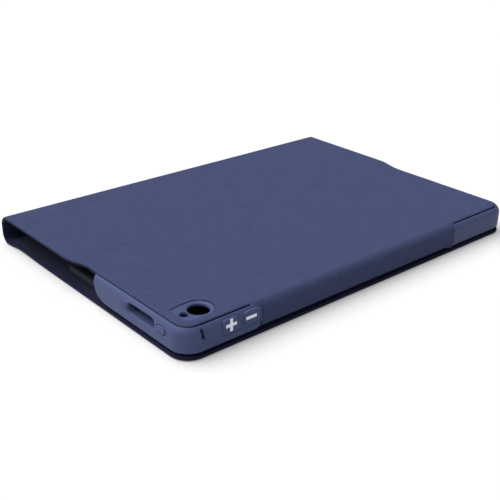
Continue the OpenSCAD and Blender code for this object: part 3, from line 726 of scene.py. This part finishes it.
collar = [(camera_outline(-0.1), 15.25), (camera_outline(-0.1), 16.95), (camera_outline(-0.35), 17.08),
          (camera_outline(-0.8), 17.02), (camera_outline(-1.3), 16.75), (camera_outline(-1.6), 16.68)]
camera_collar = lofted("camera_collar", collar, upright)


def round_cutter(x, y, r, profile):
    ring = [(math.cos(t), math.sin(t)) for t in np.linspace(0, 2 * math.pi, 41)[:-1]]
    rings = [([(x + (r + grow) * a, y + (r + grow) * b) for a, b in ring], z) for grow, z in profile]
    return lofted("round_cutter", rings, upright)


sunk = [(0, 14), (0, 16.1), (0.12, 16.4), (0.5, 16.7), (0.9, 17.4)]
cut_away(camera_collar, round_cutter(camera_x, camera_y, camera_r, sunk),
         round_cutter(flash_x, camera_y, flash_r, [(grow * 0.7, z) for grow, z in sunk]))
wear(camera_collar, moulded)
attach(camera_collar, "holder")
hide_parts("camera_surround")


# ---- Buttons ----
# Volume and power keys are separate soft-touch caps that press in through the rim. The plus and
# minus marks are pale inlays moulded into the volume caps.

cap_face = [(0, 3.6), (0, 0), (-0.12, -0.22), (-0.4, -0.36), (-0.9, -0.4), (-2, -0.36)]


def front_cap(name, x, w, h, r):
    """A button's cap in the front of the rim."""
    return lofted(name, [(rounded(w, h, r, grow), depth * 0.6) for grow, depth in cap_face],
                  lambda a, b, d: upright(x + a, front + d, opening_z + b))


volume_up_cap = front_cap("volume_up_cap", volume_up_x, 10.2, 7, 1.9)
volume_down_cap = front_cap("volume_down_cap", volume_down_x, 10.2, 7, 1.9)
power_cap = lofted("power_cap", [(rounded(7, 3.6, 1.75, grow), depth * 1.3) for grow, depth in cap_face[:5]],
                   lambda a, b, d: upright(-half_width + d, power_y + a, side_z + b))
for piece, body in ((volume_up_cap, "volume_up"), (volume_down_cap, "volume_down"), (power_cap, "power")):
    plain(piece)
    wear(piece, moulded)
    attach(piece, body)
    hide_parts(body + "_button")

mark_rings = [(0, 0), (0, -0.26), (-0.1, -0.34), (-0.25, -0.36)]


def plus_outline(grow):
    arm, bar = 3.3 + grow, 0.85 + grow
    quarter = [(arm, -bar), (arm, bar), (bar, bar)]
    turn = [(1, 0, 0, 1), (0, -1, 1, 0), (-1, 0, 0, -1), (0, 1, -1, 0)]
    return [(a * x + b * y, c * x + d * y) for a, b, c, d in turn for x, y in quarter]


def front_mark(name, x, shape):
    return lofted(name, [(shape(grow), depth) for grow, depth in mark_rings],
                  lambda a, b, d: upright(x + a, front + d, opening_z + b))


plus_mark = front_mark("plus_mark", volume_up_x, plus_outline)
minus_mark = front_mark("minus_mark", volume_down_x - 0.6, lambda grow: rounded(6.6, 1.7, 0.25, grow, 3))
pale, shader, spot = finish_of("pale lavender inlay", Specular_IOR_Level=0.4)
speck = spot.noise(3000, 2)
feed(shader, height=speck, depth=0.01, strength=0.4,
     Base_Color=(speck * 0.8).colour((0.72, 0.75, 0.92), (0.86, 0.87, 0.98)), Roughness=0.42 + speck * 0.15)
for piece, body in ((plus_mark, "volume_up"), (minus_mark, "volume_down")):
    plain(piece)
    wear(piece, pale)
    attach(piece, body)
    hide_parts(body + "_mark")


# ---- Keyboard frame and dock ----
# The frame is a flat moulding with a softened opening for every key. Behind the keys an aluminium
# bar with a groove takes the tablet's edge, and three sprung contacts stand in its middle.

def finer_copy(node, name, width):
    """A merged copy of a CAD node with its edges softened."""
    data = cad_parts[node].data.copy()
    mesh = bmesh.new()
    mesh.from_mesh(data)
    bmesh.ops.remove_doubles(mesh, verts=mesh.verts, dist=1e-6)
    bmesh.ops.dissolve_limit(mesh, angle_limit=math.radians(1), verts=mesh.verts, edges=mesh.edges)
    mesh.to_mesh(data)
    mesh.free()
    piece = new_piece(name, data)
    edge = piece.modifiers.new("softened edges", "BEVEL")
    edge.width, edge.segments = width * mm, 2
    edge.limit_method, edge.angle_limit = "ANGLE", math.radians(40)
    return plain(piece)


frame_plate = finer_copy("keyboard_frame", "keyboard_frame_plate", 0.25)
bar = finer_copy("dock_bar", "dock_bar_extrusion", 0.2)
contact_block = finer_copy("dock_contact_block", "contact_carrier", 0.12)

dark_frame, shader, spot = finish_of("textured black-navy plastic", Specular_IOR_Level=0.25)
texture = spot.noise(3500, 3, rough=0.7)
cloud = spot.noise(30, 2)
feed(shader, height=texture, depth=0.04, strength=0.7,
     Base_Color=(texture * 0.5 + cloud * 0.5).colour((0.008, 0.009, 0.018), (0.02, 0.023, 0.04)),
     Roughness=0.55 + texture * 0.2)
brushed, shader, spot = finish_of("brushed aluminium", Metallic=1.0)
streak = spot.noise(900, 3, (0.03, 1, 1), 0.6)
smudge = spot.noise(60, 2)
feed(shader, height=streak, depth=0.01, strength=0.4,
     Base_Color=(streak * 0.7 + smudge * 0.3).colour((0.42, 0.43, 0.46), (0.66, 0.67, 0.7)),
     Roughness=0.26 + streak * 0.2 + smudge * 0.08)
for piece, material, slot, node in (
        (frame_plate, dark_frame, "keyboard_black", "keyboard_frame"),
        (bar, brushed, "aluminium_trim", "dock_bar"),
        (contact_block, dark_frame, "keyboard_black", "dock_contact_block")):
    wear(piece, material)
    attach(piece, "deck")
    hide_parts(node)


# ---- Keycaps ----
# Each cap is a thin dished moulding with softened shoulders. The blank has no width of its own: a
# row's caps are set on their places and pulled out to their sizes, all with the same corners.

unit, keys_left, key_d, function_d = 15.8207, -114.7, 14.3, 8
key_z = cad_edge("function_keys", 0, 2)
row_pitch, space_row_y, function_y, key_gap = 16.5, -70.75, 8.45, 2.2
row_units = [
    [1, 1, 1, 1.25, 5, 1.25, 1, 1, 1, 1],
    [2.25] + [1] * 10 + [2.25],
    [1.75] + [1] * 11 + [1.75],
    [1.5] + [1] * 13,
    [1] * 13 + [1.5],
    [14.5 / 14] * 14,
]
row_ys = [space_row_y + row_pitch * i for i in range(5)] + [function_y]


def key_spot(row, i):
    """Middle, width and depth of a key."""
    before = sum(row_units[row][:i])
    x = keys_left + unit * (before + row_units[row][i] / 2)
    return x, row_ys[row], unit * row_units[row][i] - key_gap, function_d if row == 5 else key_d


# The blank's rings from its foot to the middle of its dish, as (corner radius, share of width, height)
cap_r = 1.6
cap_rings = [(cap_r - 0.05, 1, 0), (cap_r, 1, 0.2), (cap_r - 0.06, 1, 1.25), (cap_r - 0.22, 1, 1.72),
             (cap_r - 0.5, 1, 1.99), (cap_r - 0.95, 1, 2.1), (0.25, 1, 2.06), (0, 0.78, 1.94), (0, 0.4, 1.9)]
blank_mesh = bmesh.new()
corner = blank_mesh.verts.layers.float_vector.new("corner")
made = []
for radius, share, z in cap_rings:
    ring = []
    for sx, sy, q in ((1, 1, 0), (-1, 1, 1), (-1, -1, 2), (1, -1, 3)):
        for a in np.radians([0, 30, 60, 90]):
            turn = a + q * math.pi / 2
            v = blank_mesh.verts.new(upright(radius * math.cos(turn), radius * math.sin(turn), z))
            v[corner] = (sx * share, sy * share, 0)
            ring.append(v)
    made.append(ring)
for low, high in zip(made, made[1:]):
    for j in range(16):
        blank_mesh.faces.new((low[j], low[(j + 1) % 16], high[(j + 1) % 16], high[j]))
blank_mesh.faces.new(made[0][::-1])
blank_mesh.faces.new(made[-1])
keycap_blank = made_piece("keycap_blank", blank_mesh)

cap_plastic, shader, spot = finish_of("matte black keycap plastic", Specular_IOR_Level=0.45)
fine = spot.noise(5200, 2, rough=0.7)
touch = spot.noise(130, 2)
feed(shader, height=fine, depth=0.02, strength=0.6,
     Base_Color=(fine * 0.6 + touch * 0.4).colour((0.012, 0.013, 0.018), (0.028, 0.03, 0.038)),
     Roughness=0.42 + touch * 0.14 + fine * 0.1)

cap_tree = bpy.data.node_groups.new("row of keycaps", "GeometryNodeTree")
face_in = cap_tree.interface
face_in.new_socket("Geometry", in_out="INPUT", socket_type="NodeSocketGeometry")
blank_socket = face_in.new_socket("Cap Blank", in_out="INPUT", socket_type="NodeSocketObject")
finish_socket = face_in.new_socket("Cap Finish", in_out="INPUT", socket_type="NodeSocketMaterial")
face_in.new_socket("Geometry", in_out="OUTPUT", socket_type="NodeSocketGeometry")


def tree_node(tree, kind, settings=(), **links):
    """A node with its settings and inputs; i0, i1 and so on are inputs by their number."""
    made = tree.nodes.new(kind)
    for name, value in dict(settings).items():
        setattr(made, name, value)
    for key, value in links.items():
        socket = made.inputs[int(key[1:]) if key[1:].isdigit() else key.replace("_", " ")]
        if isinstance(value, bpy.types.NodeSocket):
            tree.links.new(value, socket)
        else:
            socket.default_value = value
    return made


given = tree_node(cap_tree, "NodeGroupInput")
blank_in = tree_node(cap_tree, "GeometryNodeObjectInfo", Object=given.outputs["Cap Blank"])
caps = tree_node(cap_tree, "GeometryNodeInstanceOnPoints", Points=given.outputs["Geometry"],
                 Instance=blank_in.outputs["Geometry"])
real = tree_node(cap_tree, "GeometryNodeRealizeInstances", Geometry=caps.outputs[0])
vector = {"data_type": "FLOAT_VECTOR"}
half_size = tree_node(cap_tree, "GeometryNodeInputNamedAttribute", vector, Name="half_size")
corner_at = tree_node(cap_tree, "GeometryNodeInputNamedAttribute", vector, Name="corner")
pull = tree_node(cap_tree, "ShaderNodeVectorMath", {"operation": "MULTIPLY"},
                 i0=half_size.outputs[0], i1=corner_at.outputs[0])
sized = tree_node(cap_tree, "GeometryNodeSetPosition", Geometry=real.outputs[0], Offset=pull.outputs[0])
painted = tree_node(cap_tree, "GeometryNodeSetMaterial", Geometry=sized.outputs[0],
                    Material=given.outputs["Cap Finish"])
tree_node(cap_tree, "NodeGroupOutput", Geometry=painted.outputs[0])


def row_of_caps(name, spots):
    """A keycap of its own width and depth on each spot."""
    data = bpy.data.meshes.new(name)
    data.from_pydata([upright(x, y, key_z) for x, y, w, d in spots], [], [])
    half = data.attributes.new("half_size", "FLOAT_VECTOR", "POINT")
    sizes = [((w / 2 - cap_r) * mm, (d / 2 - cap_r) * mm, 0) for x, y, w, d in spots]
    half.data.foreach_set("vector", [v for size in sizes for v in size])
    piece = new_piece(name, data)
    rule = piece.modifiers.new("caps", "NODES")
    rule.node_group = cap_tree
    rule[blank_socket.identifier], rule[finish_socket.identifier] = keycap_blank, cap_plastic
    return plain(piece, 32)


arrow_x, arrow_y, arrow_w, arrow_d = key_spot(0, 8)
key_groups = {
    "function_keys": [key_spot(5, i) for i in range(14)],
    "number_keys": [key_spot(4, i) for i in range(13)],
    "upper_letter_keys": [key_spot(3, i) for i in range(1, 14)],
    "home_letter_keys": [key_spot(2, i) for i in range(1, 12)],
    "lower_letter_keys": [key_spot(1, i) for i in range(1, 11)],
    "modifier_keys": [key_spot(0, i) for i in (0, 1, 2, 3, 5, 6)],
    "delete_key": [key_spot(4, 13)],
    "tab_key": [key_spot(3, 0)],
    "caps_lock_key": [key_spot(2, 0)],
    "return_key": [key_spot(2, 12)],
    "left_shift_key": [key_spot(1, 0)],
    "right_shift_key": [key_spot(1, 11)],
    "space_bar": [key_spot(0, 4)],
    "arrow_left_key": [key_spot(0, 7)],
    "arrow_up_down_keys": [(arrow_x, arrow_y + s * (arrow_d / 4 + 0.3), arrow_w, arrow_d / 2 - 0.6)
                           for s in (-1, 1)],
    "arrow_right_key": [key_spot(0, 9)],
}
for node, spots in key_groups.items():
    caps_piece = row_of_caps(node + "_caps", spots)
    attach(caps_piece, node)
    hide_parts(node)
bpy.data.objects.remove(keycap_blank)


# ---- Key legends ----
# Plain letters, figures and words in pale grey, laser-etched into the middle of each cap.

legends = {
    "function_keys": ["esc"] + ["F%d" % i for i in range(1, 13)] + ["lock"],
    "number_keys": list("`1234567890-="),
    "upper_letter_keys": list("QWERTYUIOP[]\\"),
    "home_letter_keys": list("ASDFGHJKL;'"),
    "lower_letter_keys": list("ZXCVBNM,./"),
    "modifier_keys": ["fn", "ctrl", "alt", "cmd", "cmd", "alt"],
    "delete_key": ["delete"],
    "tab_key": ["tab"],
    "caps_lock_key": ["caps"],
    "return_key": ["return"],
    "left_shift_key": ["shift"],
    "right_shift_key": ["shift"],
    "arrow_left_key": [180],
    "arrow_up_down_keys": [-90, 90],
    "arrow_right_key": [0],
}
etched, shader, spot = finish_of("pale grey etched legend", Specular_IOR_Level=0.3)
speck = spot.noise(4000, 2)
feed(shader, height=speck, depth=0.01, strength=0.3,
     Base_Color=(speck * 0.7).colour((0.5, 0.52, 0.56), (0.68, 0.7, 0.74)), Roughness=0.55 + speck * 0.15)
for node, words in legends.items():
    joined = bmesh.new()
    for word, (x, y, w, d) in zip(words, key_groups[node]):
        if isinstance(word, str):
            curve = bpy.data.curves.new("legend", "FONT")
            curve.body, curve.align_x, curve.align_y = word, "CENTER", "CENTER"
            curve.size = (4.6 if len(word) == 1 else 3.1) * mm
            curve.resolution_u, curve.extrude = 3, 0.03 * mm
            text = new_piece("legend", curve)
            bpy.context.view_layer.update()
            seen = text.evaluated_get(bpy.context.evaluated_depsgraph_get())
            shape = bpy.data.meshes.new_from_object(seen)
            bpy.data.objects.remove(text)
        else:
            turns = [math.radians(word + a) for a in (0, 120, 240)]
            tips = [(1.3 * math.cos(a), 1.3 * math.sin(a)) for a in turns]
            arrow = lofted("arrow", [(tips, -0.03), (tips, 0.03)], upright)
            shape = arrow.data
            bpy.data.objects.remove(arrow)
        shape.transform(Matrix.Translation(upright(x, y, key_z + 1.95)))
        joined.from_mesh(shape)
    piece = made_piece(node + "_legends", joined)
    wear(piece, etched)
    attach(piece, node)


# ---- Works inside ----
# Boards, tray, support plate, printed switch sheet, domes, link frames, circuit board, ribbon,
# screws, magnets and keepers keep their shapes, each with the finish of its real material. The domes
# and link frames under each group of keys are one piece.

def under_keys(node, name):
    """The parts of a CAD node that lie nearest to each group's keys, as one piece for each group."""
    middles = [(group, x, y) for group, spots in key_groups.items() for x, y, w, d in spots]
    pieces = []
    for group in key_groups:
        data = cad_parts[node].data.copy()
        mesh = bmesh.new()
        mesh.from_mesh(data)
        others = []
        for face in mesh.faces:
            spot = face.calc_center_median() / mm
            nearest = min(middles, key=lambda m: math.hypot(m[1] - spot.x, (m[2] - spot.y) * 1.2))
            if nearest[0] != group:
                others.append(face)
        bmesh.ops.delete(mesh, geom=others, context="FACES")
        bmesh.ops.remove_doubles(mesh, verts=mesh.verts, dist=1e-6)
        mesh.to_mesh(data)
        mesh.free()
        piece = new_piece(group + name, data)
        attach(piece, "deck")
        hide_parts(node)
        group + "_press"
        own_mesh(piece)
        pieces.append(piece)
    return pieces


def works(name, low, high, scale, stretch, rough, rough_span, nodes, depth=0.02, metal=0.0):
    """A finish with fine flecks between two colours, on CAD nodes or on pieces of them."""
    material, shader, spot = finish_of(name, Metallic=metal)
    fleck = spot.noise(scale, 3, stretch, 0.6)
    cloud = spot.noise(scale * 0.04, 2)
    feed(shader, height=fleck, depth=depth, strength=0.6,
         Base_Color=(fleck * 0.8 + cloud * 0.4 - 0.1).colour(low, high), Roughness=rough + fleck * rough_span)
    for node in nodes:
        wear(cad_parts[node] if isinstance(node, str) else node, material)


works("grey fibreboard", (0.16, 0.14, 0.11), (0.34, 0.31, 0.26), 900, (0.4, 1, 1), 0.75, 0.15,
      ["base_board", "spine_board", "flap_board"], depth=0.05)
works("moulded tray plastic", (0.012, 0.013, 0.02), (0.03, 0.032, 0.045), 2500, (1, 1, 1), 0.5, 0.2,
      ["keyboard_tray"])
works("stamped steel plate", (0.3, 0.31, 0.32), (0.52, 0.53, 0.55), 1100, (0.05, 1, 1), 0.3, 0.2,
      ["key_support_plate", "holder_keepers"], metal=1.0)
works("printed switch film", (0.42, 0.44, 0.37), (0.62, 0.64, 0.56), 700, (1, 1, 1), 0.3, 0.15,
      ["switch_membrane"])
works("grey dome rubber", (0.12, 0.125, 0.14), (0.22, 0.23, 0.25), 2200, (1, 1, 1), 0.6, 0.2,
      under_keys("rubber_domes", "_domes"))
works("white acetal", (0.6, 0.6, 0.57), (0.78, 0.78, 0.76), 1800, (1, 1, 1), 0.35, 0.15,
      under_keys("scissor_links", "_links"))
works("green circuit laminate", (0.01, 0.07, 0.03), (0.03, 0.14, 0.06), 600, (1, 0.2, 1), 0.35, 0.2,
      ["controller_board"])
works("black chip epoxy", (0.01, 0.01, 0.011), (0.03, 0.03, 0.032), 3000, (1, 1, 1), 0.5, 0.2,
      ["board_components"])
works("amber ribbon film", (0.3, 0.12, 0.03), (0.5, 0.24, 0.07), 1500, (1, 0.05, 1), 0.25, 0.15,
      ["membrane_ribbon"])
works("zinc plated screws", (0.34, 0.35, 0.37), (0.56, 0.57, 0.6), 1600, (1, 1, 1), 0.28, 0.2,
      ["tray_screws"], metal=1.0)
works("nickel plated magnet", (0.36, 0.36, 0.37), (0.55, 0.55, 0.56), 1300, (1, 1, 0.2), 0.22, 0.2,
      ["dock_magnets", "front_magnets"], metal=1.0)
works("gold plated contact", (0.62, 0.42, 0.14), (0.85, 0.62, 0.26), 2000, (1, 1, 0.1), 0.18, 0.15,
      ["dock_contact_pins"], metal=1.0)


# ---- Studio ----
# The case lies on a pale, faintly lit table under a broad overhead light, with a gentler one from
# its left side.

floor_mesh = bpy.data.meshes.new("studio_floor")
corners = [(6 * x, 6 * y, -0.0002) for x, y in ((-1, -1), (1, -1), (1, 1), (-1, 1))]
floor_mesh.from_pydata(corners, [], [(0, 1, 2, 3)])
studio_floor = new_piece("studio_floor", floor_mesh)
paper, shader, spot = finish_of("white acrylic light table", Roughness=0.9, Specular_IOR_Level=0.1,
                               Emission_Color=(1, 1, 1, 1), Emission_Strength=0.2)
feed(shader, height=spot.noise(300, 2), depth=0.02, strength=0.2,
     Base_Color=spot.noise(3, 2).colour((0.52, 0.52, 0.52), (0.55, 0.55, 0.55)))
wear(studio_floor, paper)

world = bpy.data.worlds.new("studio air")
bpy.context.scene.world = world
world.use_nodes = True
world.node_tree.nodes["Background"].inputs["Color"].default_value = (1, 1, 1, 1)
world.node_tree.nodes["Background"].inputs["Strength"].default_value = 0.3


def soft_sun(name, toward, spread_deg, strength):
    light = bpy.data.lights.new(name, "SUN")
    light.angle, light.energy = math.radians(spread_deg), strength
    lamp = new_piece(name, light)
    lamp.rotation_mode = "QUATERNION"
    lamp.rotation_quaternion = Vector(toward).to_track_quat("Z", "Y")


soft_sun("overhead softbox", (-0.32, 0.42, 1), 70, 4.2)
soft_sun("left softbox", (-1, -0.1, 0.75), 50, 0.4)

azimuth, elevation, roll = math.radians(-40.969), math.radians(24.999), math.radians(0.862)
lens = bpy.data.cameras.new("camera")
lens.lens, lens.sensor_width, lens.clip_start, lens.clip_end = 62.3, 36, 0.01, 50
camera = new_piece("camera", lens)
outward = Vector((math.sin(azimuth), -math.cos(azimuth), 0))
away = outward * math.cos(elevation) + Vector((0, 0, math.sin(elevation)))
right = Vector((math.cos(azimuth), math.sin(azimuth), 0))
up = away.cross(right)
tilted = (right * math.cos(roll) + up * math.sin(roll), up * math.cos(roll) - right * math.sin(roll), away)
place = Matrix.Translation(Vector((-0.018825, -0.011893, 0)) + away * 0.51213)
camera.matrix_world = place @ Matrix(tilted).transposed().to_4x4()
bpy.context.scene.camera = camera
bpy.context.scene.view_settings.view_transform = "Standard"
